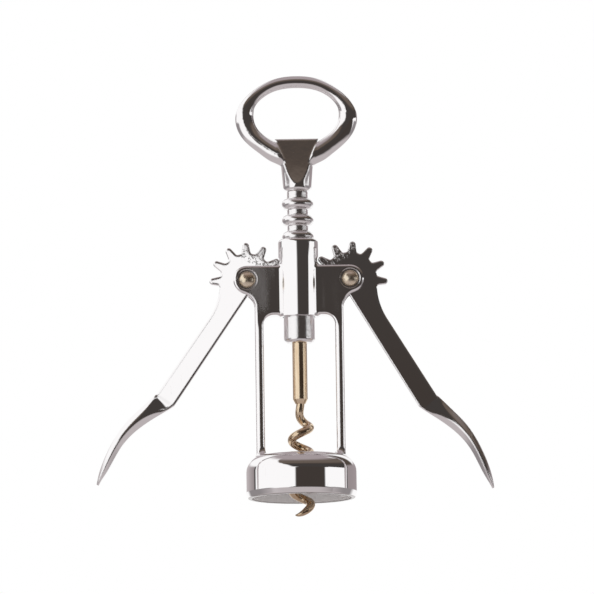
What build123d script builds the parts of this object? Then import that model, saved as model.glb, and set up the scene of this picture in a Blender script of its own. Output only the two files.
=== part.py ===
# Lever corkscrew, standing upright. Millimetres, Z up along the spindle, the front facing -Y.
# The origin is the centre of the bell's rim, and the levers hang part way open.
import os
from math import asin, cos, pi, radians, sin, sqrt

from build123d import *

os.makedirs("parts", exist_ok=True)

# Bell
bell_radius = 21.4
bell_height = 16.5
bell_wall = 2.6
bell_roof = 3.2
bell_shoulder = 6.5
rim_bevel = 2.3
rim_inset = 0.9
rim_round = 0.6

# Spindle: the rack, the shaft inside it and the worm below
shaft_radius = 2.85
rack_core_radius = 4.0
rack_radius = 6.1
stub_radius = 5.95
stub_round = 1.5
rack_drop = 24.5
rack_rise = 34.5
running_gap = 0.05
wire_radius = 1.6
helix_radius = 3.5
helix_pitch = 9.8
helix_turns = 3
worm_gap = 1.0
shaft_bottom = 36.4
shaft_bevel = 0.9
shaft_taper = 1.8
lead_turn = 0.5
lead_rise = 4.8
lead_sink = 0.6
tip_turn = 0.37
tip_radius = 0.25
tip_lead = 0.1
tip_hook = 5.4
tip_curl = 4.5
tip_steps = 5
tip_taper = 2.2

# Gear ends and pivots
gear_tip_radius = 14.5
gear_root_radius = 10.4
pitch_radius = 12.15
tooth_angle = 30.0
tooth_count = 8
tooth_tip_width = 2.5
tooth_root_width = 3.6
tooth_root_round = 0.9
gear_phase = -3.2
mesh_depth = 0.8
tooth_gap = 0.4
pivot_height = 84.5
rivet_radius = 2.0
rivet_gap = 0.06
rivet_head_radius = 3.15
rivet_head_height = 1.7
spot_radius = 3.9
spot_depth = 0.5

# Lever arms, hanging part way open
lever_thickness = 4.8
arm_width = 8.0
arm_root_width = 7.4
arm_inner = 3.6
arm_length = 56.0
arm_hang = 32.6
lever_play = 1.7
arm_flare = 25.0
hub_radius = 6.0
sector_margin = 24.0
sector_round = 1.2
edge_round = 0.3

# Grip, beyond the end of the arm
grip_length = 41.6
grip_bulge = 6.15
grip_depth = 8.4
grip_crown = 0.4

# Yoke, legs and collar
plate = 1.5
pocket_gap = 0.2
ear_radius = 5.4
ear_blend = 6.0
yoke_height = 19.2
frame_round = 1.1
collar_wall = 1.45
collar_gap = 0.2
collar_drop = 14.5
collar_rise = 15.7
collar_round = 1.3
collar_blend = 1.8
leg_centre = 15.4
leg_width = 3.3
window_round = 4.0
foot_blend = 2.6

# Handle: finger ring, opener tongue and neck
neck_radius = 5.35
neck_swell = 0.9
neck_round = 1.5
neck_height = 10.5
tongue_rise = 20.4
tongue_width = 16.8
facet_width = 16.4
facet_waist = 9.8
waist_rise = 11.9
facet_foot = 8.4
foot_rise = 8.6
tongue_lip = 3.0
facet_start = 3.2
seat_gap = 0.1
shaft_depth = 9.0
ring_rise = 42.9
ring_reach = 19.9
ring_drop = 30.6
ring_width = 7.5
ring_depth = 7.6

# Slack allowed when an edge is picked by its place
pick_margin = 0.1

# Sizes that follow from those
pivot_offset = gear_tip_radius + rack_radius - mesh_depth
tooth_pitch = pitch_radius * radians(tooth_angle)
pocket_width = lever_thickness + 2 * pocket_gap
yoke_depth = pocket_width + 2 * plate
pocket_radius = gear_tip_radius + tooth_gap
collar_bore = rack_radius + collar_gap
collar_radius = collar_bore + collar_wall
yoke_top = pivot_height + ear_radius
yoke_bottom = yoke_top - yoke_height
collar_bottom = pivot_height - collar_drop
collar_top = pivot_height + collar_rise
rack_bottom = pivot_height - rack_drop
shoulder_height = pivot_height + rack_rise
tongue_height = shoulder_height + tongue_rise
ring_height = shoulder_height + ring_rise
bell_bore = bell_radius - bell_wall
worm_hole = helix_radius + wire_radius + worm_gap
leg_inner = leg_centre - leg_width / 2
leg_outer = leg_centre + leg_width / 2
valley_height = pivot_height - gear_tip_radius * sin(radians(gear_phase))
shaft_top = shoulder_height + shaft_depth
helix_start = shaft_bottom - lead_turn * helix_pitch - lead_rise + lead_sink


# Yoke and legs in one plate: an ear round each pivot, and a window between the legs
with BuildPart() as yoke:
    with BuildSketch(Plane.XZ) as yoke_outline:
        with Locations((0, bell_height - bell_roof)):
            Rectangle(2 * leg_outer, yoke_top - bell_height + bell_roof, align=(Align.CENTER, Align.MIN))
        with Locations((0, pivot_height)):
            Rectangle(2 * pivot_offset, ear_radius, align=(Align.CENTER, Align.MIN))
        with Locations((-pivot_offset, pivot_height), (pivot_offset, pivot_height)):
            Circle(ear_radius)
        for side in (-1, 1):
            notch = yoke_outline.vertices().sort_by_distance((side * leg_outer, pivot_height - ear_radius))[0]
            fillet(notch, ear_blend)
        with Locations((0, yoke_bottom)):
            Rectangle(2 * leg_inner, yoke_bottom, align=(Align.CENTER, Align.MAX), mode=Mode.SUBTRACT)
        for side in (-1, 1):
            crown = yoke_outline.vertices().sort_by_distance((side * leg_inner, yoke_bottom))[0]
            fillet(crown, window_round)
    extrude(amount=yoke_depth / 2, both=True)
    fillet(yoke.faces().filter_by(Axis.Y).edges(), frame_round)

# Frame: bell, legs, yoke and collar in one casting
with BuildPart() as frame:
    with BuildSketch(Plane.YZ) as bell_profile:
        with BuildLine():
            Polyline(
                (worm_hole, bell_height),
                (bell_radius, bell_height),
                (bell_radius, rim_bevel),
                (bell_radius - rim_inset, 0),
                (bell_bore, 0),
                (bell_bore, bell_height - bell_roof),
                (worm_hole, bell_height - bell_roof),
                close=True,
            )
        make_face()
        fillet(bell_profile.vertices().sort_by_distance((bell_radius, bell_height))[0], bell_shoulder)
        inner_corner = bell_profile.vertices().sort_by_distance((bell_bore, bell_height - bell_roof))[0]
        fillet(inner_corner, bell_shoulder - bell_roof)
        fillet(bell_profile.vertices().sort_by_distance((bell_radius - rim_inset, 0))[0], rim_round)
    revolve(axis=Axis.Z)
    add(yoke.part)
    foot_edges = [
        e
        for e in frame.edges()
        if leg_inner - pick_margin < abs(e.center().X) < leg_outer + pick_margin
        and abs(e.center().Y) < yoke_depth / 2 + pick_margin
        and bell_height - bell_shoulder < e.bounding_box().min.Z
        and e.bounding_box().max.Z < bell_height + pick_margin
    ]
    fillet(foot_edges, foot_blend)
    with BuildSketch(Plane.XY.offset(collar_bottom)):
        Circle(collar_radius)
    extrude(amount=collar_top - collar_bottom)
    fillet(frame.edges().filter_by(GeomType.CIRCLE).sort_by(Axis.Z)[-1], collar_round)
    arcs = frame.edges().filter_by(GeomType.CIRCLE)
    fillet(arcs.filter_by_position(Axis.Z, yoke_top - pick_margin, yoke_top + pick_margin), collar_blend)

    # The rack's bore, a pocket for each gear end, and the holes and seats of the rivets
    with BuildSketch(Plane.XY.offset(collar_bottom)):
        Circle(collar_bore)
    extrude(amount=collar_top - collar_bottom, mode=Mode.SUBTRACT)
    with BuildSketch(Plane.XZ):
        with Locations((-pivot_offset, pivot_height), (pivot_offset, pivot_height)):
            Circle(pocket_radius)
    extrude(amount=pocket_width / 2, both=True, mode=Mode.SUBTRACT)
    with BuildSketch(Plane.XZ):
        with Locations((-pivot_offset, pivot_height), (pivot_offset, pivot_height)):
            Circle(rivet_radius)
    extrude(amount=yoke_depth, both=True, mode=Mode.SUBTRACT)
    for face in (Plane.XZ.offset(yoke_depth / 2), Plane.XZ.offset(-yoke_depth / 2)):
        toward = -1 if face.origin.Y < 0 else 1
        with BuildSketch(face):
            with Locations((-pivot_offset, pivot_height), (pivot_offset, pivot_height)):
                Circle(spot_radius)
        extrude(amount=toward * spot_depth, mode=Mode.SUBTRACT)


# Rivets: a shank through both plates of the yoke with a dome on each end
seat = yoke_depth / 2 - spot_depth
dome_radius = (rivet_head_radius**2 + rivet_head_height**2) / (2 * rivet_head_height)
with BuildPart() as right_rivet:
    with BuildSketch(Plane.XY.offset(pivot_height)):
        with BuildLine():
            Polyline(
                (pivot_offset, seat + rivet_head_height),
                (pivot_offset, -seat - rivet_head_height),
            )
            RadiusArc(
                (pivot_offset, -seat - rivet_head_height),
                (pivot_offset + rivet_head_radius, -seat),
                -dome_radius,
            )
            Polyline(
                (pivot_offset + rivet_head_radius, -seat),
                (pivot_offset + rivet_radius, -seat),
                (pivot_offset + rivet_radius, seat),
                (pivot_offset + rivet_head_radius, seat),
            )
            RadiusArc(
                (pivot_offset + rivet_head_radius, seat),
                (pivot_offset, seat + rivet_head_height),
                -dome_radius,
            )
        make_face()
    revolve(axis=Axis((pivot_offset, 0, pivot_height), (0, 1, 0)))
with BuildPart() as left_rivet:
    mirror(right_rivet.part, about=Plane.YZ)

# Levers: gear end and arm in one plate, and a grip that curls away from it.
# Play between the teeth lets the left one hang wider and the right one closer.
lever_plane = Plane(
    origin=(pivot_offset, 0, pivot_height),
    x_dir=(sin(radians(arm_hang)), 0, -cos(radians(arm_hang))),
    z_dir=(0, -1, 0),
)
first_tooth = gear_phase + 90 - arm_hang
tooth_reach = gear_tip_radius - tooth_tip_width / 2
tooth_flank = tooth_reach - gear_root_radius
sector_end = radians(first_tooth + (tooth_count - 1) * tooth_angle + sector_margin)
hub_corner = -asin(arm_inner / hub_radius)
root_angle = asin(tooth_root_width / 2 / gear_root_radius)

# Grip stations as shares of its length, bulge, arm width, depth and arm width: along, outward, thickness, depth, front edge
grip_shares = [
    (0.095, 0.27, 0.875, 0.6, 0.6),
    (0.23, 0.61, 0.74, 0.7, 0.26),
    (0.395, 0.91, 0.62, 0.85, 0.1),
    (0.577, 1.0, 0.5, 1.0, 0.075),
    (0.78, 0.86, 0.42, 0.9, 0.065),
    (0.915, 0.715, 0.27, 0.66, 0.06),
    (1.0, 0.6, 0.11, 0.34, 0.05),
]
grip_root = arm_width / 2 - arm_inner
grip = [(arm_length, grip_root, arm_width, lever_thickness, arm_width - 2 * edge_round)] + [
    (
        arm_length + along * grip_length,
        grip_root + out * grip_bulge,
        thick * arm_width,
        depth * grip_depth,
        front * arm_width,
    )
    for along, out, thick, depth, front in grip_shares
]
with BuildPart() as right_lever:
    with BuildSketch(lever_plane) as lever_outline:
        Circle(gear_root_radius)
        Polygon(
            (0, 0),
            (2 * gear_root_radius, 0),
            (2 * gear_root_radius, -2 * gear_root_radius),
            (2 * gear_root_radius * cos(sector_end), 2 * gear_root_radius * sin(sector_end)),
            align=None,
            mode=Mode.SUBTRACT,
        )
        Circle(hub_radius)
        Polygon(
            (0, -arm_inner),
            (arm_length, -arm_inner),
            (arm_length, arm_width - arm_inner),
            (0, arm_root_width - arm_inner),
            align=None,
        )
        flare = lever_outline.vertices().sort_by_distance((gear_root_radius, arm_root_width - arm_inner))[0]
        fillet(flare, arm_flare)
        for reach, angle in ((gear_root_radius, sector_end), (hub_radius, sector_end), (hub_radius, hub_corner)):
            corner = (reach * cos(angle), reach * sin(angle))
            fillet(lever_outline.vertices().sort_by_distance(corner)[0], sector_round)
        with PolarLocations(tooth_reach, tooth_count, first_tooth, tooth_count * tooth_angle):
            Circle(tooth_tip_width / 2)
            Polygon(
                (0, tooth_tip_width / 2),
                (-2 * tooth_flank, tooth_root_width - tooth_tip_width / 2),
                (-2 * tooth_flank, tooth_tip_width / 2 - tooth_root_width),
                (0, -tooth_tip_width / 2),
                align=None,
            )
        for k in range(2 * tooth_count):
            angle = radians(first_tooth + k // 2 * tooth_angle) + (-1) ** k * root_angle
            root = (gear_root_radius * cos(angle), gear_root_radius * sin(angle))
            fillet(lever_outline.vertices().sort_by_distance(root)[0], tooth_root_round)
    extrude(amount=lever_thickness / 2, both=True)
    rims = [
        e
        for e in right_lever.faces().filter_by(Axis.Y).edges()
        if lever_plane.to_local_coords(e.center()).X < arm_length - pick_margin
    ]
    fillet(rims, edge_round)
    for i, (along, out, thick, depth, front) in enumerate(grip):
        before = grip[max(i - 1, 0)]
        after = grip[min(i + 1, len(grip) - 1)]
        run = Vector(after[0] - before[0], after[1] - before[1], 0)
        if i == 0:
            run = Vector(1, 0, 0)
        tangent = lever_plane.from_local_coords(run) - lever_plane.origin
        crown = depth - 2 * edge_round if i < 2 else grip_crown * depth
        station = Plane(
            origin=lever_plane.from_local_coords(Vector(along, out, 0)),
            x_dir=(0, -1, 0),
            z_dir=tangent,
        )
        with BuildSketch(station):
            Polygon(
                (depth / 2, -front / 2),
                (depth / 2, front / 2),
                (crown / 2, thick / 2),
                (-crown / 2, thick / 2),
                (-depth / 2, front / 2),
                (-depth / 2, -front / 2),
                (-crown / 2, -thick / 2),
                (crown / 2, -thick / 2),
                align=None,
            )
    loft()
    with BuildSketch(lever_plane):
        Circle(rivet_radius + rivet_gap)
    extrude(amount=lever_thickness, both=True, mode=Mode.SUBTRACT)
right_pivot = Axis((pivot_offset, 0, pivot_height), (0, -1, 0))
with BuildPart() as left_lever:
    mirror(right_lever.part.rotate(right_pivot, lever_play), about=Plane.YZ)
right_lever.part = right_lever.part.rotate(right_pivot, -lever_play)

# Rack sleeve: beads at the gear's pitch over a plain stub, bored for the shaft
bead_radius = rack_radius - rack_core_radius
first_bead = valley_height - 1.5 * tooth_pitch
rack_top = shoulder_height - seat_gap
bead_count = 1 + int((rack_top - bead_radius - first_bead) / tooth_pitch)
with BuildPart() as rack_sleeve:
    with BuildSketch(Plane.XZ) as rack_profile:
        with Locations((0, rack_bottom)):
            Rectangle(rack_core_radius, rack_top - rack_bottom, align=(Align.MIN, Align.MIN))
            Rectangle(stub_radius, first_bead - rack_bottom, align=(Align.MIN, Align.MIN))
        fillet(rack_profile.vertices().sort_by_distance((stub_radius, rack_bottom))[0], stub_round)
        for k in range(bead_count):
            with Locations((rack_core_radius, first_bead + k * tooth_pitch)):
                Circle(bead_radius)
        with Locations((-rack_radius, rack_bottom)):
            Rectangle(
                rack_radius + shaft_radius + running_gap,
                rack_top - rack_bottom,
                align=(Align.MIN, Align.MIN),
                mode=Mode.SUBTRACT,
            )
    revolve(axis=Axis.Z)

# Ring stations as shares of its reach, drop, width and depth: out from the middle, down, width from the front, depth
ring_shares = [
    (0.0, 0.0, 0.625, 0.605),
    (0.425, 0.04, 0.615, 0.62),
    (0.7, 0.135, 0.625, 0.63),
    (0.91, 0.27, 0.735, 0.66),
    (1.0, 0.41, 0.92, 0.685),
    (0.97, 0.57, 0.975, 0.71),
    (0.825, 0.71, 0.935, 0.75),
    (0.63, 0.815, 0.945, 0.815),
    (0.41, 0.91, 1.0, 0.92),
    (0.185, 1.0, 1.0, 1.0),
]
ring = [
    (out * ring_reach, ring_height - down * ring_drop, wide * ring_width, deep * ring_depth)
    for out, down, wide, deep in ring_shares
]

# Wedge that the tongue keeps to, and the metal in front of it and behind it that its flat facets take away
facet_slope = (neck_radius - tongue_lip / 2) / (tongue_rise - facet_start)
wedge_foot = neck_radius + facet_slope * facet_start
wedge_top = tongue_height + tongue_lip
with BuildPart() as wedge:
    with BuildSketch(Plane.YZ):
        Polygon(
            (-wedge_foot, shoulder_height),
            (wedge_foot, shoulder_height),
            (tongue_lip / 2, tongue_height),
            (tongue_lip / 2, wedge_top),
            (-tongue_lip / 2, wedge_top),
            (-tongue_lip / 2, tongue_height),
            align=None,
        )
    extrude(amount=tongue_width, both=True)
with BuildPart() as facets:
    with BuildSketch(Plane.XZ):
        Polygon(
            (-facet_width / 2, wedge_top),
            (facet_width / 2, wedge_top),
            (facet_width / 2, tongue_height),
            (facet_waist / 2, shoulder_height + waist_rise),
            (facet_foot / 2, shoulder_height + foot_rise),
            (facet_foot / 2, shoulder_height),
            (-facet_foot / 2, shoulder_height),
            (-facet_foot / 2, shoulder_height + foot_rise),
            (-facet_waist / 2, shoulder_height + waist_rise),
            (-facet_width / 2, tongue_height),
            align=None,
        )
    extrude(amount=ring_depth, both=True)
    add(wedge.part, mode=Mode.SUBTRACT)

# Handle: neck and wedge-shaped tongue, then the ring in one sweep of ellipses, with the facets cut across both
with BuildPart() as handle_ring:
    with BuildSketch(Plane.XZ) as neck_profile:
        with BuildLine():
            Polyline(
                (0, shoulder_height),
                (neck_radius, shoulder_height),
                (neck_radius + neck_swell, shoulder_height + neck_height),
                (0, shoulder_height + neck_height),
                close=True,
            )
        make_face()
        fillet(neck_profile.vertices().sort_by_distance((neck_radius, shoulder_height))[0], neck_round)
    revolve(axis=Axis.Z)
    with BuildSketch(Plane.XZ):
        Polygon(
            (-tongue_width / 2, tongue_height),
            (tongue_width / 2, tongue_height),
            (facet_waist / 2, shoulder_height + waist_rise),
            (facet_foot / 2, shoulder_height + foot_rise),
            (-facet_foot / 2, shoulder_height + foot_rise),
            (-facet_waist / 2, shoulder_height + waist_rise),
            align=None,
        )
    extrude(amount=neck_radius, both=True)
    add(wedge.part, mode=Mode.INTERSECT)
    stations = [(-x, z, w, d) for x, z, w, d in ring[:0:-1]] + ring
    for i, (x, z, width, depth) in enumerate(stations):
        before = stations[max(i - 1, 0)]
        after = stations[min(i + 1, len(stations) - 1)]
        with BuildSketch(
            Plane(origin=(x, 0, z), x_dir=(0, -1, 0), z_dir=(after[0] - before[0], 0, after[1] - before[1]))
        ):
            Ellipse(depth / 2, width / 2)
    loft()
    add(facets.part, mode=Mode.SUBTRACT)
    with BuildSketch(Plane.XY.offset(shoulder_height)):
        Circle(shaft_radius)
    extrude(amount=shaft_depth, mode=Mode.SUBTRACT)


# Worm: a shaft, then wire that leads out of it, turns about the axis and ends in a sharpened tip
def wire_point(turn):
    """Centre of the wire, counted in turns downward from where it first reaches its full radius."""
    lead = min(turn / lead_turn, 0)
    tail = max(turn - helix_turns + tip_lead, 0) / (tip_turn + tip_lead)
    radius = helix_radius * (1 - lead**2 * (3 + 2 * lead))
    hook = tip_hook * tail**2 - tip_curl * tail**4
    height = helix_start - helix_pitch * turn + lead_rise * lead**2 - hook
    return Vector(radius * cos(2 * pi * turn), -radius * sin(2 * pi * turn), height)


def wire_run(turn):
    """Direction of the wire, downward."""
    return (wire_point(turn + 0.001) - wire_point(turn - 0.001)).normalized()


def wire_plane(turn):
    """Plane square to the wire."""
    return Plane(origin=wire_point(turn), x_dir=wire_run(turn).cross(Vector(0, 0, 1)), z_dir=wire_run(turn))


with BuildPart() as worm:
    with BuildSketch(Plane.XY.offset(shaft_bottom)):
        Circle(shaft_radius)
    extrude(amount=shaft_top - shaft_bottom)
    chamfer(worm.edges().sort_by(Axis.Z)[0], shaft_taper, shaft_bevel)
    with BuildLine() as wire_path:
        steps = [-lead_turn + k * lead_turn / 4 for k in range(4)] + [k / 4 for k in range(4 * helix_turns + 1)]
        for start, end in zip(steps, steps[1:]):
            # Two arcs that meet halfway in a common direction
            chord = wire_point(end) - wire_point(start)
            along = chord.dot(wire_run(start) + wire_run(end))
            bend = 2 * (1 - wire_run(start).dot(wire_run(end)))
            reach = (sqrt(along**2 + bend * chord.dot(chord)) - along) / bend
            first = wire_point(start) + wire_run(start) * reach
            last = wire_point(end) - wire_run(end) * reach
            TangentArc(wire_point(start), (first + last) / 2, tangent=wire_run(start))
            TangentArc((first + last) / 2, wire_point(end), tangent=last - first)
    with BuildSketch(wire_plane(-lead_turn)):
        Circle(wire_radius)
    sweep(path=wire_path.wires()[0])
    for k in range(tip_steps + 1):
        with BuildSketch(wire_plane(helix_turns + tip_turn * k / tip_steps)):
            Circle(wire_radius + (tip_radius - wire_radius) * (k / tip_steps) ** tip_taper)
    loft()

for name, piece in (
    ("frame", frame),
    ("left_lever", left_lever),
    ("right_lever", right_lever),
    ("left_rivet", left_rivet),
    ("right_rivet", right_rivet),
    ("handle_ring", handle_ring),
    ("rack_sleeve", rack_sleeve),
    ("worm", worm),
):
    piece.part.label = name
    export_step(piece.part, f"parts/{name}.step")
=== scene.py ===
import math

import bpy
import numpy as np
from mathutils import Euler, Matrix

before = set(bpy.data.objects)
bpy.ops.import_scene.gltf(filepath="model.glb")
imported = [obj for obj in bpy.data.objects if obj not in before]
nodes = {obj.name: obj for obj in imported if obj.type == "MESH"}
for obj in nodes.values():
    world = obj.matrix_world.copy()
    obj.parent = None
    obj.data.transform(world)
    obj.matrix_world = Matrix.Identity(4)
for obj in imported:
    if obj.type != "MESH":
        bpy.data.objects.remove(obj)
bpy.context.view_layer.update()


# Frame: bell, legs, yoke and collar in one zinc casting, polished on a wheel that rubbed its edges round, and bright
# chrome plated. The plate is a mirror with faint smudges, smears and hairline scratches. Inside the bell it is satin
# over the rings that the turning tool left, with painted shade darkening it toward the roof, and bottles have dulled
# the rim.
def shader_node(tree, kind, label, **sockets):
    """Adds one shader node, labels it and sets the sockets that are named."""
    node = tree.nodes.new(kind)
    node.label = label
    for socket, value in sockets.items():
        node.inputs[socket.replace("_", " ")].default_value = value
    return node


def bare_material(name):
    """A new material with nothing in its node tree. Returns the material and the tree."""
    material = bpy.data.materials.new(name)
    material.use_nodes = True
    material.node_tree.nodes.clear()
    return material, material.node_tree


def cover(tree, shader):
    """Makes a shader's output the surface of the material."""
    surface = shader_node(tree, "ShaderNodeOutputMaterial", "surface")
    tree.links.new(shader, surface.inputs["Surface"])


def place_on(tree):
    """The place on a piece in metres, from its Object coordinates: the vector, then its X, Y and Z."""
    place = shader_node(tree, "ShaderNodeTexCoord", "place").outputs["Object"]
    split = shader_node(tree, "ShaderNodeSeparateXYZ", "place")
    tree.links.new(place, split.inputs["Vector"])
    return place, split.outputs["X"], split.outputs["Y"], split.outputs["Z"]


def arithmetic(tree, operation, label, first, second=None):
    """One Math node: each term is a number or another node's output, and its own output is returned."""
    node = shader_node(tree, "ShaderNodeMath", label)
    node.operation = operation
    for socket, term in zip(node.inputs, (first, second)):
        if isinstance(term, (int, float)):
            socket.default_value = term
        elif term is not None:
            tree.links.new(term, socket)
    return node.outputs["Value"]


def eased(tree, label, value, low, high, start=0.0, end=1.0):
    """A value that runs smoothly from start, at low, to end, at high, and stays there beyond them."""
    node = shader_node(tree, "ShaderNodeMapRange", label)
    node.interpolation_type = "SMOOTHSTEP"
    for socket, number in (("From Min", low), ("From Max", high), ("To Min", start), ("To Max", end)):
        node.inputs[socket].default_value = number
    tree.links.new(value, node.inputs["Value"])
    return node.outputs["Result"]


def blended(tree, label, share, first, second):
    """A colour mix: share 0 gives the first colour and 1 the second. A colour is a tuple or a node's output."""
    node = shader_node(tree, "ShaderNodeMix", label)
    node.data_type = "RGBA"
    colours = [socket for socket in node.inputs if socket.type == "RGBA"]
    for socket, colour in zip(colours, (first, second)):
        if isinstance(colour, tuple):
            socket.default_value = colour
        else:
            tree.links.new(colour, socket)
    tree.links.new(share, node.inputs["Factor"])
    return [socket for socket in node.outputs if socket.type == "RGBA"][0]


def noise(tree, label, place, drawn_out=None, **sockets):
    """A soft noise between 0 and 1 by place, stretched on each axis by one over the scale in drawn_out."""
    if drawn_out:
        along = shader_node(tree, "ShaderNodeMapping", label + " drawn out", Scale=drawn_out)
        tree.links.new(place, along.inputs["Vector"])
        place = along.outputs["Vector"]
    node = shader_node(tree, "ShaderNodeTexNoise", label, **sockets)
    tree.links.new(place, node.inputs["Vector"])
    return node.outputs["Fac"]


def bumped(tree, label, height, depth, strength=1.0, normal=None):
    """A normal tilted by the slope of height times depth, by a strength that is a number or a node's output, over
    another normal where one is given."""
    node = shader_node(tree, "ShaderNodeBump", label, Distance=depth)
    tree.links.new(height, node.inputs["Height"])
    if isinstance(strength, float):
        node.inputs["Strength"].default_value = strength
    else:
        tree.links.new(strength, node.inputs["Strength"])
    if normal is not None:
        tree.links.new(normal, node.inputs["Normal"])
    return node.outputs["Normal"]


def chrome_plate(name, drawn_out, radius):
    """Bright chrome on polished metal. Smudges are a slow noise in the roughness, hairline scratches a fast noise
    drawn out along one axis, and the plate's colour is a little duller where both meet. Edges look rubbed round to
    the radius given. Returns the material, its tree, the roughness, the shader and the rubbed normal, so that a
    piece can add the marks of its own use."""
    clean_rough, smudge_rough, scratch_rough, scratch_when_clean = 0.012, 0.018, 0.16, 0.25
    bright, dulled = (0.955, 0.938, 0.942, 1), (0.85, 0.825, 0.82, 1)
    material, tree = bare_material(name)
    place = place_on(tree)[0]
    hair = noise(tree, "hairlines", place, drawn_out, Scale=2600.0, Detail=2.0, Roughness=0.5)
    hairline = eased(tree, "hairline scratches", hair, 0.66, 0.74)
    touch = noise(tree, "smudges", place, Scale=120.0, Detail=5.0, Roughness=0.6)
    smudge = eased(tree, "smudges", touch, 0.5, 0.72)
    dull = arithmetic(tree, "MULTIPLY", "dull marks", hairline,
                      arithmetic(tree, "ADD", "seen in smudges", smudge, scratch_when_clean))
    scratches = arithmetic(tree, "MULTIPLY", "scratches", dull, scratch_rough)
    rough = arithmetic(tree, "ADD", "roughness", arithmetic(tree, "MULTIPLY", "smudge haze", smudge, smudge_rough),
                       arithmetic(tree, "ADD", "scratch haze", scratches, clean_rough))
    tint = shader_node(tree, "ShaderNodeValToRGB", "plate colour")
    tint.color_ramp.elements[0].color = bright
    tint.color_ramp.elements[1].color = dulled
    tree.links.new(dull, tint.inputs["Fac"])
    plate = shader_node(tree, "ShaderNodeBsdfPrincipled", name, Metallic=1.0)
    tree.links.new(tint.outputs["Color"], plate.inputs["Base Color"])
    tree.links.new(rough, plate.inputs["Roughness"])
    edges = shader_node(tree, "ShaderNodeBevel", "rubbed edges", Radius=radius)
    edges.samples = 16
    tree.links.new(edges.outputs["Normal"], plate.inputs["Normal"])
    cover(tree, plate.outputs["BSDF"])
    return material, tree, rough, plate, edges.outputs["Normal"]


polished_upright = (1, 1, 0.05)
edge_radius, leg_extra_radius = 0.0004, 0.0016
hollow_reach, hollow_roof, hollow_fade, painted_shade_start = 0.0190, 0.0137, 0.0002, 0.0045
satin_rough, smear_rough, rim_rough = 0.42, 0.34, 0.2
# The first colour is painted shade toward the bell's roof, and the second is the rim's wear.
painted_roof_shade, worn_plate = (0.26, 0.245, 0.235, 1), (0.46, 0.43, 0.425, 1)
material, tree, rough, plate, rubbed = chrome_plate("casting_chrome", polished_upright, edge_radius)
place, x, y, z = place_on(tree)

legs = arithmetic(tree, "MULTIPLY", "legs", eased(tree, "above the bell", z, 0.0165, 0.0185),
                  eased(tree, "below the yoke", z, 0.064, 0.069, leg_extra_radius, 0.0))
tree.links.new(arithmetic(tree, "ADD", "legs rubbed round", legs, edge_radius), rubbed.node.inputs["Radius"])

reach = arithmetic(tree, "SQRT", "distance from the axis", arithmetic(
    tree, "ADD", "sum of squares", arithmetic(tree, "MULTIPLY", "across", x, x),
    arithmetic(tree, "MULTIPLY", "front to back", y, y)))
hollow = arithmetic(tree, "MULTIPLY", "inside the bell",
                    eased(tree, "within the wall", reach, hollow_reach, hollow_reach + hollow_fade, 1.0, 0.0),
                    eased(tree, "under the roof", z, hollow_roof, hollow_roof + hollow_fade, 1.0, 0.0))
rings = noise(tree, "tool rings", place, (0.02, 0.02, 1), Scale=2400.0, Detail=2.0)
ring_strength = arithmetic(tree, "MULTIPLY", "rings inside only", hollow, 0.5)
tree.links.new(bumped(tree, "tool rings", rings, 0.00004, ring_strength, rubbed), plate.inputs["Normal"])
tree.links.new(eased(tree, "matt inside", hollow, 0.0, 1.0, 1.0, 0.1), plate.inputs["Metallic"])

worn_rim = eased(tree, "rim worn by bottles", z, 0.00015, 0.0004, 1.0, 0.0)
# Painted shade: inside the bell the colour darkens toward the roof, standing in for the shade in the hollow.
hollow_painted_shade = arithmetic(tree, "MULTIPLY", "painted shade deep inside", hollow,
                         eased(tree, "painted shade up to the roof", z, painted_shade_start, hollow_roof, 0.0, 0.65))
chrome = plate.inputs["Base Color"].links[0].from_socket
chrome = blended(tree, "painted shade in the hollow", hollow_painted_shade, chrome, painted_roof_shade)
tree.links.new(blended(tree, "worn rim", worn_rim, chrome, worn_plate), plate.inputs["Base Color"])

wiped = noise(tree, "wiped", place, (1, 1, 0.25), Scale=120.0, Detail=1.0, Roughness=0.5)
off_middle = arithmetic(tree, "ABSOLUTE", "off the middle", x)
on_plates = arithmetic(tree, "MULTIPLY", "on the plates",
                       eased(tree, "up on the yoke", z, 0.068, 0.074, 0.0, smear_rough),
                       eased(tree, "beside the collar", off_middle, 0.0085, 0.0095))
smear = arithmetic(tree, "MULTIPLY", "smears on the yoke", eased(tree, "wiped", wiped, 0.38, 0.78), on_plates)
rough = arithmetic(tree, "ADD", "smeared", rough, smear)
rough = arithmetic(tree, "ADD", "satin inside", rough, arithmetic(tree, "MULTIPLY", "satin", hollow, satin_rough))
rough = arithmetic(tree, "ADD", "dulled rim", rough, arithmetic(tree, "MULTIPLY", "dulled", worn_rim, rim_rough))
tree.links.new(rough, plate.inputs["Roughness"])
nodes["frame"].material_slots[0].material = material


# Rivets: soft brass pins through both plates of the yoke, peened over into low domes.
# The hammer and the set leave small dents and rubbed marks on the domes, with darker brass between them.
def warm_brass(name, bright, deep, drawn_out, haze, dent):
    """Polished brass: a colour between deep and bright by a blotchy noise, a roughness that rises with it from haze,
    and a bump of small dents whose height is a smooth noise. Returns the material, its tree and the shader."""
    haze_range, dent_depth = 0.1, 0.0002
    material, tree = bare_material(name)
    place = place_on(tree)[0]
    blotch = noise(tree, "tarnish", place, drawn_out, Scale=900.0, Detail=4.0, Roughness=0.6)
    tint = shader_node(tree, "ShaderNodeValToRGB", "brass colour")
    for element, position, colour in zip(tint.color_ramp.elements, (0.30, 0.66), (deep, bright)):
        element.position = position
        element.color = colour
    tree.links.new(blotch, tint.inputs["Fac"])
    dents = noise(tree, "dents", place, Scale=700.0, Detail=1.0)
    metal = shader_node(tree, "ShaderNodeBsdfPrincipled", name, Metallic=1.0)
    tree.links.new(tint.outputs["Color"], metal.inputs["Base Color"])
    tree.links.new(eased(tree, "haze", blotch, 0.35, 0.7, haze, haze + haze_range), metal.inputs["Roughness"])
    tree.links.new(bumped(tree, "dents", dents, dent_depth, dent), metal.inputs["Normal"])
    cover(tree, metal.outputs["BSDF"])
    return material, tree, metal


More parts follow.
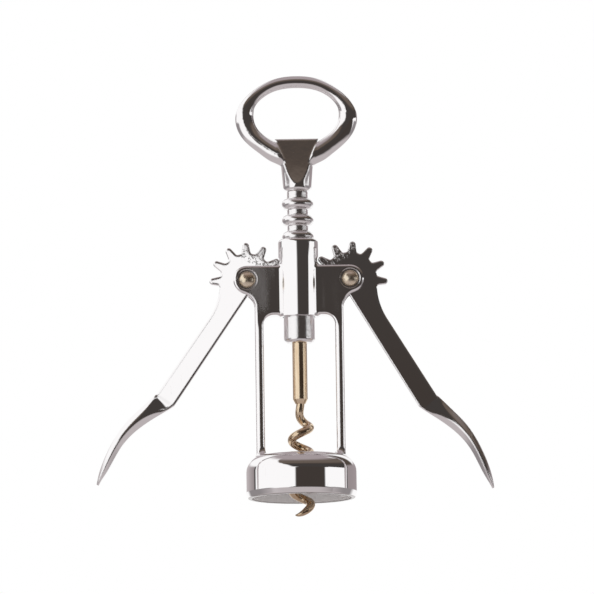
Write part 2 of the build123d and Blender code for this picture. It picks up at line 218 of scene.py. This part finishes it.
rivet_bright, rivet_deep = (0.95, 0.85, 0.70, 1), (0.82, 0.68, 0.50, 1)
rivet_brass = warm_brass("rivet_brass", rivet_bright, rivet_deep, None, haze=0.25, dent=0.22)[0]
for rivet in ("left_rivet", "right_rivet"):
    nodes[rivet].material_slots[0].material = rivet_brass


# Levers: gear end and arm stamped in one plate, then drawn out into a curled grip and chrome plated.
# The wheel rubbed the grips roundest, the press set the left plate a few degrees out of true, and the teeth
# next to the rack are scuffed and pitted from use.
pivot_out, pivot_up, scuff_turn = 0.0198, 0.0845, math.radians(56.0)
arm_radius, grip_radius, grip_top, arm_foot = 0.0012, 0.0019, 0.030, 0.037
scuff_start, scuff_full, scuff_rough, pit_depth = 0.0055, 0.0125, 0.1, 0.00016
left_lean, right_lean = math.tan(math.radians(6.0)), 0.0
for lever, side, lean in (("left_lever", -1.0, left_lean), ("right_lever", 1.0, right_lean)):
    material, tree, rough, plate, rubbed = chrome_plate(lever + "_chrome", polished_upright, arm_radius)
    place, x, y, z = place_on(tree)
    tree.links.new(eased(tree, "grip rubbed rounder", z, grip_top, arm_foot, grip_radius, arm_radius),
                   rubbed.node.inputs["Radius"])
    normal = rubbed
    if lean:
        out_of_true = arithmetic(tree, "MULTIPLY", "out of true", x, lean)
        normal = bumped(tree, "set in the press", out_of_true, 1.0, normal=rubbed)
    across = arithmetic(tree, "SUBTRACT", "across from the pivot", x, side * pivot_out)
    up = arithmetic(tree, "SUBTRACT", "up from the pivot", z, pivot_up)
    toward = arithmetic(tree, "ADD", "toward the rack",
                        arithmetic(tree, "MULTIPLY", "inward", across, -side * math.cos(scuff_turn)),
                        arithmetic(tree, "MULTIPLY", "upward", up, math.sin(scuff_turn)))
    scuffed = eased(tree, "teeth at the rack", toward, scuff_start, scuff_full)
    pits = noise(tree, "pits", place, Scale=900.0, Detail=3.0, Roughness=0.6)
    pitted = eased(tree, "pitted spots", pits, 0.52, 0.66, 1.0, 0.0)
    tree.links.new(bumped(tree, "worn teeth", pitted, pit_depth, scuffed, normal), plate.inputs["Normal"])
    scuffs = arithmetic(tree, "MULTIPLY", "scuffs", scuffed, scuff_rough)
    tree.links.new(arithmetic(tree, "ADD", "scuffed", rough, scuffs), plate.inputs["Roughness"])
    nodes[lever].material_slots[0].material = material


# Rack sleeve: a turned round rack with beads in place of teeth, chrome plated over fine tool lines.
# It slides through the collar, so its beads are rubbed and hazier than the castings.
def rippled(tree, normal, scale, depth):
    """A normal with soft ripples: a bump of the depth given, whose height is a soft noise."""
    waves = noise(tree, "ripples", place_on(tree)[0], Scale=scale, Detail=2.0, Roughness=0.5)
    return bumped(tree, "ripples", waves, depth, normal=normal)


turned_round = (0.05, 0.05, 1)
bead_radius, bead_rough = 0.0005, 0.19
material, tree, rough, plate, rubbed = chrome_plate("rack_chrome", turned_round, bead_radius)
tree.links.new(arithmetic(tree, "ADD", "rubbed", rough, bead_rough), plate.inputs["Roughness"])
tree.links.new(rippled(tree, rubbed, scale=420.0, depth=0.00005), plate.inputs["Normal"])
nodes["rack_sleeve"].material_slots[0].material = material


# Worm: shaft and open coil bent from one steel rod, ground to a point and plated a pale brass colour.
# Painted shade darkens the plate on the coil, most of all toward the point.
worm_bright, worm_deep, painted_shade_brass = (0.93, 0.77, 0.57, 1), (0.73, 0.55, 0.37, 1), (0.42, 0.28, 0.17, 1)
drawn_along_rod = (1, 1, 0.12)
coil_foot, coil_top, most_painted_shade = 0.012, 0.036, 0.55
material, tree, metal = warm_brass("worm_brass", worm_bright, worm_deep, drawn_along_rod, haze=0.1, dent=0.012)
z = place_on(tree)[3]
# Painted shade: the coil's colour darkens toward the point.
coil_painted_shade = eased(tree, "painted shade toward the point", z, coil_foot, coil_top, most_painted_shade, 0.0)
brass = metal.inputs["Base Color"].links[0].from_socket
tree.links.new(blended(tree, "brass with painted shade", coil_painted_shade, brass, painted_shade_brass), metal.inputs["Base Color"])
nodes["worm"].material_slots[0].material = material


# Handle: finger ring, opener tongue and neck in one casting, chrome plated. It was polished by hand on a wheel,
# which leaves long soft ripples and a slight bow up the front of the tongue, and fingers keep it a little hazy.
handle_radius, handled_rough = 0.0012, 0.035
tongue_foot, tongue_lip, tongue_bow = 0.121, 0.1375, 0.0016
foot_half, lip_half, side_fade = 0.0040, 0.0080, 0.0002
material, tree, rough, plate, rubbed = chrome_plate("handle_chrome", polished_upright, handle_radius)
tree.links.new(arithmetic(tree, "ADD", "handled", rough, handled_rough), plate.inputs["Roughness"])
place, x, y, z = place_on(tree)
rise = eased(tree, "rise up the tongue", z, tongue_foot, 2 * tongue_lip - tongue_foot, 0.0, tongue_bow)
half_width = eased(tree, "half its width", z, tongue_foot, tongue_lip, foot_half, lip_half)
past_side = arithmetic(tree, "SUBTRACT", "past its side",
                       arithmetic(tree, "ABSOLUTE", "off the middle", x), half_width)
on_tongue = arithmetic(tree, "MULTIPLY", "front of the tongue",
                       eased(tree, "within its sides", past_side, -side_fade, side_fade, 1.0, 0.0),
                       eased(tree, "in front", y, -0.001, 0.0, 1.0, 0.0))
bowed = bumped(tree, "bowed tongue", rise, 1.0, on_tongue, rubbed)
tree.links.new(rippled(tree, bowed, scale=300.0, depth=0.00004), plate.inputs["Normal"])
nodes["handle_ring"].material_slots[0].material = material


# Studio: a long room of white and grey walls with a grey ceiling, and a dark card right of the camera whose left
# edge steps in at the camera's own height. It is open at its far end, behind the object. The walls are far off, so
# every piece shows them alike, and only the mirror finish shows them.
room_half, room_far = 400.0, 1100.0
scene = bpy.context.scene
mesh = bpy.data.meshes.new("studio_room")
mesh.from_pydata(
    [(x, y, z) for y in (-room_half, room_far) for z in (-room_half, room_half) for x in (-room_half, room_half)],
    [], [(0, 1, 3, 2), (0, 1, 5, 4), (2, 3, 7, 6), (0, 2, 6, 4), (1, 3, 7, 5)])
studio = bpy.data.objects.new("studio_room", mesh)
scene.collection.objects.link(studio)
paint, tree = bare_material("studio_walls")
place = shader_node(tree, "ShaderNodeTexCoord", "place on the walls")
aim = shader_node(tree, "ShaderNodeVectorMath", "direction from the object")
aim.operation = "NORMALIZE"
tree.links.new(place.outputs["Object"], aim.inputs[0])
split = shader_node(tree, "ShaderNodeSeparateXYZ", "direction")
tree.links.new(aim.outputs["Vector"], split.inputs["Vector"])
to_degrees = 180.0 / math.pi
bearing = arithmetic(tree, "MULTIPLY", "bearing in degrees", arithmetic(
    tree, "ARCTAN2", "bearing from the front", split.outputs["X"],
    arithmetic(tree, "MULTIPLY", "toward the front", split.outputs["Y"], -1.0)), to_degrees)
height = arithmetic(tree, "MULTIPLY", "elevation in degrees",
                    arithmetic(tree, "ARCSINE", "elevation", split.outputs["Z"]), to_degrees)


def banded(tree, label, value, limit, stops):
    """A colour by a value in degrees, from minus the limit to the limit: stops are (degrees, colour) pairs."""
    share = shader_node(tree, "ShaderNodeMapRange", label, From_Min=-limit, From_Max=limit)
    tree.links.new(value, share.inputs["Value"])
    node = shader_node(tree, "ShaderNodeValToRGB", label)
    ramp = node.color_ramp
    while len(ramp.elements) < len(stops):
        ramp.elements.new(0.5)
    for element, (angle, colour) in zip(ramp.elements, stops):
        element.position = (angle + limit) / (2 * limit)
        element.color = colour
    tree.links.new(share.outputs["Result"], node.inputs["Fac"])
    return node.outputs["Color"]


all_round, straight_up = 180, 90
white, seam, mauve = (1.0, 1.0, 1.0, 1), (0.03, 0.03, 0.03, 1), (0.38, 0.33, 0.34, 1)
shade, pale_mauve, dim = (0.27, 0.25, 0.255, 1), (0.52, 0.475, 0.48, 1), (0.31, 0.27, 0.275, 1)
dark, low_dark, table = (0.052, 0.046, 0.043, 1), (0.051, 0.042, 0.037, 1), (0.50, 0.46, 0.465, 1)
brown, tan = (0.082, 0.064, 0.053, 1), (0.135, 0.108, 0.09, 1)
low_walls = banded(tree, "low walls", bearing, all_round, [
    (-180, white), (-150, white), (-138, shade), (-72, shade), (-58, white), (60, white), (70, shade),
    (126, shade), (140, white), (180, white)])
walls = banded(tree, "walls", bearing, all_round, [
    (-180, pale_mauve), (-150, pale_mauve), (-117, dim), (-113, seam), (-110.5, seam), (-109.5, white),
    (107.5, white), (108, seam), (110, seam), (110.5, dim), (180, mauve)])
high_walls = banded(tree, "high walls", bearing, all_round, [
    (-180, mauve), (-162, mauve), (-152, white), (108, white), (112, brown), (138, brown), (146, white),
    (160, white), (170, mauve), (180, mauve)])


def edge(degrees):
    """A bearing kept as a grey: 0 at minus 180 degrees and 1 at plus 180 degrees."""
    share = (degrees + all_round) / (2 * all_round)
    return (share, share, share, 1)


left_edge = banded(tree, "card's left edge", height, straight_up, [
    (-90, edge(-40)), (-30, edge(-30)), (2, edge(-16)), (6.6, edge(-12)), (7.2, edge(-8)), (8.9, edge(-8)),
    (9.5, edge(-20)), (10.4, edge(-20)), (12, edge(-18)), (18, edge(-26)), (26, edge(-38)), (36, edge(-54)),
    (50, edge(-66))])
right_edge = banded(tree, "card's right edge", height, straight_up, [
    (-90, edge(75)), (-30, edge(75)), (2, edge(54)), (6.0, edge(50)), (6.6, edge(50)), (7.0, edge(57)),
    (8.4, edge(58)), (8.9, edge(89)), (9.4, edge(112)), (45, edge(112)), (60, edge(90)), (90, edge(80))])
card_colour = banded(tree, "card", height, straight_up, [
    (-90, table), (-34, table), (-20, dark), (5, low_dark), (7.2, low_dark), (8.4, dark), (23, dark),
    (28, brown), (33, tan), (44, tan), (72, mauve), (90, mauve)])
crisp_edge, soft_edge = 0.006, 0.013
share = arithmetic(tree, "DIVIDE", "bearing as a share",
                   arithmetic(tree, "ADD", "bearing from behind", bearing, all_round), 2 * all_round)
past_left = arithmetic(tree, "DIVIDE", "edge softness",
                       arithmetic(tree, "SUBTRACT", "from the left edge", share, left_edge),
                       eased(tree, "softer up the card", height, 6.6, 7.2, crisp_edge, soft_edge))
past_right = arithmetic(tree, "SUBTRACT", "from the right edge", share, right_edge)
card = arithmetic(tree, "MULTIPLY", "on the card",
                  eased(tree, "right of the left edge", past_left, -1.0, 1.0),
                  eased(tree, "left of the right edge", past_right, -crisp_edge, crisp_edge, 1.0, 0.0))
room = blended(tree, "low walls and walls", eased(tree, "up to the walls", height, 0, 4), low_walls, walls)
room = blended(tree, "walls and high walls", eased(tree, "up to the high walls", height, 14, 22), room, high_walls)
room = blended(tree, "table and walls", eased(tree, "up from the table", height, -34, -20), table, room)
room = blended(tree, "room and card", card, room, card_colour)
room = blended(tree, "room and ceiling", eased(tree, "up to the ceiling", height, 48, 64), room, mauve)
lit = shader_node(tree, "ShaderNodeEmission", "lit walls")
tree.links.new(room, lit.inputs["Color"])
cover(tree, lit.outputs["Emission"])
mesh.materials.append(paint)
studio.visible_camera = False
studio.visible_diffuse = False
studio.visible_transmission = False
studio.visible_shadow = False


# Background: plain white beyond the room's open end and all round for the camera. The mirror finish and glass
# show the same white, and matt surfaces get a plain even light in its place.
plain_light = (0.57, 0.55, 0.55, 1)
world = bpy.data.worlds.new("white_background")
scene.world = world
world.use_nodes = True
tree = world.node_tree
tree.nodes.clear()
rays = shader_node(tree, "ShaderNodeLightPath", "rays")
seen = arithmetic(tree, "MAXIMUM", "seen straight or in metal",
                  rays.outputs["Is Camera Ray"], rays.outputs["Is Glossy Ray"])
seen = arithmetic(tree, "MAXIMUM", "or through glass", seen, rays.outputs["Is Transmission Ray"])
glow = shader_node(tree, "ShaderNodeBackground", "background")
tree.links.new(blended(tree, "white background", seen, plain_light, white), glow.inputs["Color"])
surface = shader_node(tree, "ShaderNodeOutputWorld", "background")
tree.links.new(glow.outputs["Background"], surface.inputs["Surface"])


# Floor: a pale matt sheet a little below the worm's lowest reach, which takes the shadow.
# It is clear from underneath, because the camera looks up through it, and the mirror finish doesn't show it.
floor_height, floor_half = -0.027, 4.0
mesh = bpy.data.meshes.new("floor")
corners = floor_half * np.array([(-1, -1), (1, -1), (1, 1), (-1, 1)])
mesh.from_pydata(np.column_stack([corners, np.full(4, floor_height)]).tolist(), [], [(0, 1, 2, 3)])
floor = bpy.data.objects.new("floor", mesh)
scene.collection.objects.link(floor)
pale, tree = bare_material("pale_floor")
matte = shader_node(tree, "ShaderNodeBsdfDiffuse", "pale floor", Color=(0.8, 0.795, 0.79, 1))
clear = shader_node(tree, "ShaderNodeBsdfTransparent", "open from below")
under = shader_node(tree, "ShaderNodeNewGeometry", "side seen")
one_sided = shader_node(tree, "ShaderNodeMixShader", "one sided")
tree.links.new(under.outputs["Backfacing"], one_sided.inputs["Fac"])
tree.links.new(matte.outputs["BSDF"], one_sided.inputs[1])
tree.links.new(clear.outputs["BSDF"], one_sided.inputs[2])
cover(tree, one_sided.outputs["Shader"])
mesh.materials.append(pale)
floor.visible_glossy = False


# Lamps: two round softboxes, one up on the left and one overhead, for the floor's shadow and the bell's inside.
# They are low in power and the mirror finish doesn't show them.
softbox_size, softbox_watts = 0.9, 6.0
for name, at, turned in (
    ("left_softbox", (-1.3, -0.5, 0.9), (0.0, -58.0, 20.0)),
    ("top_softbox", (0.3, 0.2, 1.5), (0.0, 10.0, 0.0)),
):
    lamp = bpy.data.lights.new(name, "AREA")
    lamp.shape = "DISK"
    lamp.size = softbox_size
    lamp.energy = softbox_watts
    light = bpy.data.objects.new(name, lamp)
    light.location = at
    light.rotation_euler = [math.radians(angle) for angle in turned]
    light.visible_glossy = False
    scene.collection.objects.link(light)


# Camera: a long lens two metres off and lower than the floor, looking up eight degrees.
# It is rolled by a little under one degree, and the picture is as wide as the object with its white margin.
shot_distance, shot_rise, shot_roll, shot_width = 2.2, -8.0, -0.85, 0.2287
shot_aim = np.array([-0.0007, 0.0, 0.07796])
sensor_width = 36.0
camera_data = bpy.data.cameras.new("camera")
camera_data.sensor_width = sensor_width
camera_data.lens = sensor_width * shot_distance / shot_width
camera_data.clip_end = 50.0
camera = bpy.data.objects.new("camera", camera_data)
scene.collection.objects.link(camera)
tilt = math.radians(shot_rise)
camera.location = shot_aim + shot_distance * np.array([0.0, -math.cos(tilt), math.sin(tilt)])
camera.rotation_mode = "XYZ"
level = Euler((math.radians(90.0 - shot_rise), 0.0, 0.0)).to_matrix()
camera.rotation_euler = (level @ Matrix.Rotation(math.radians(shot_roll), 3, "Z")).to_euler()
scene.camera = camera
scene.view_settings.view_transform = "Standard"
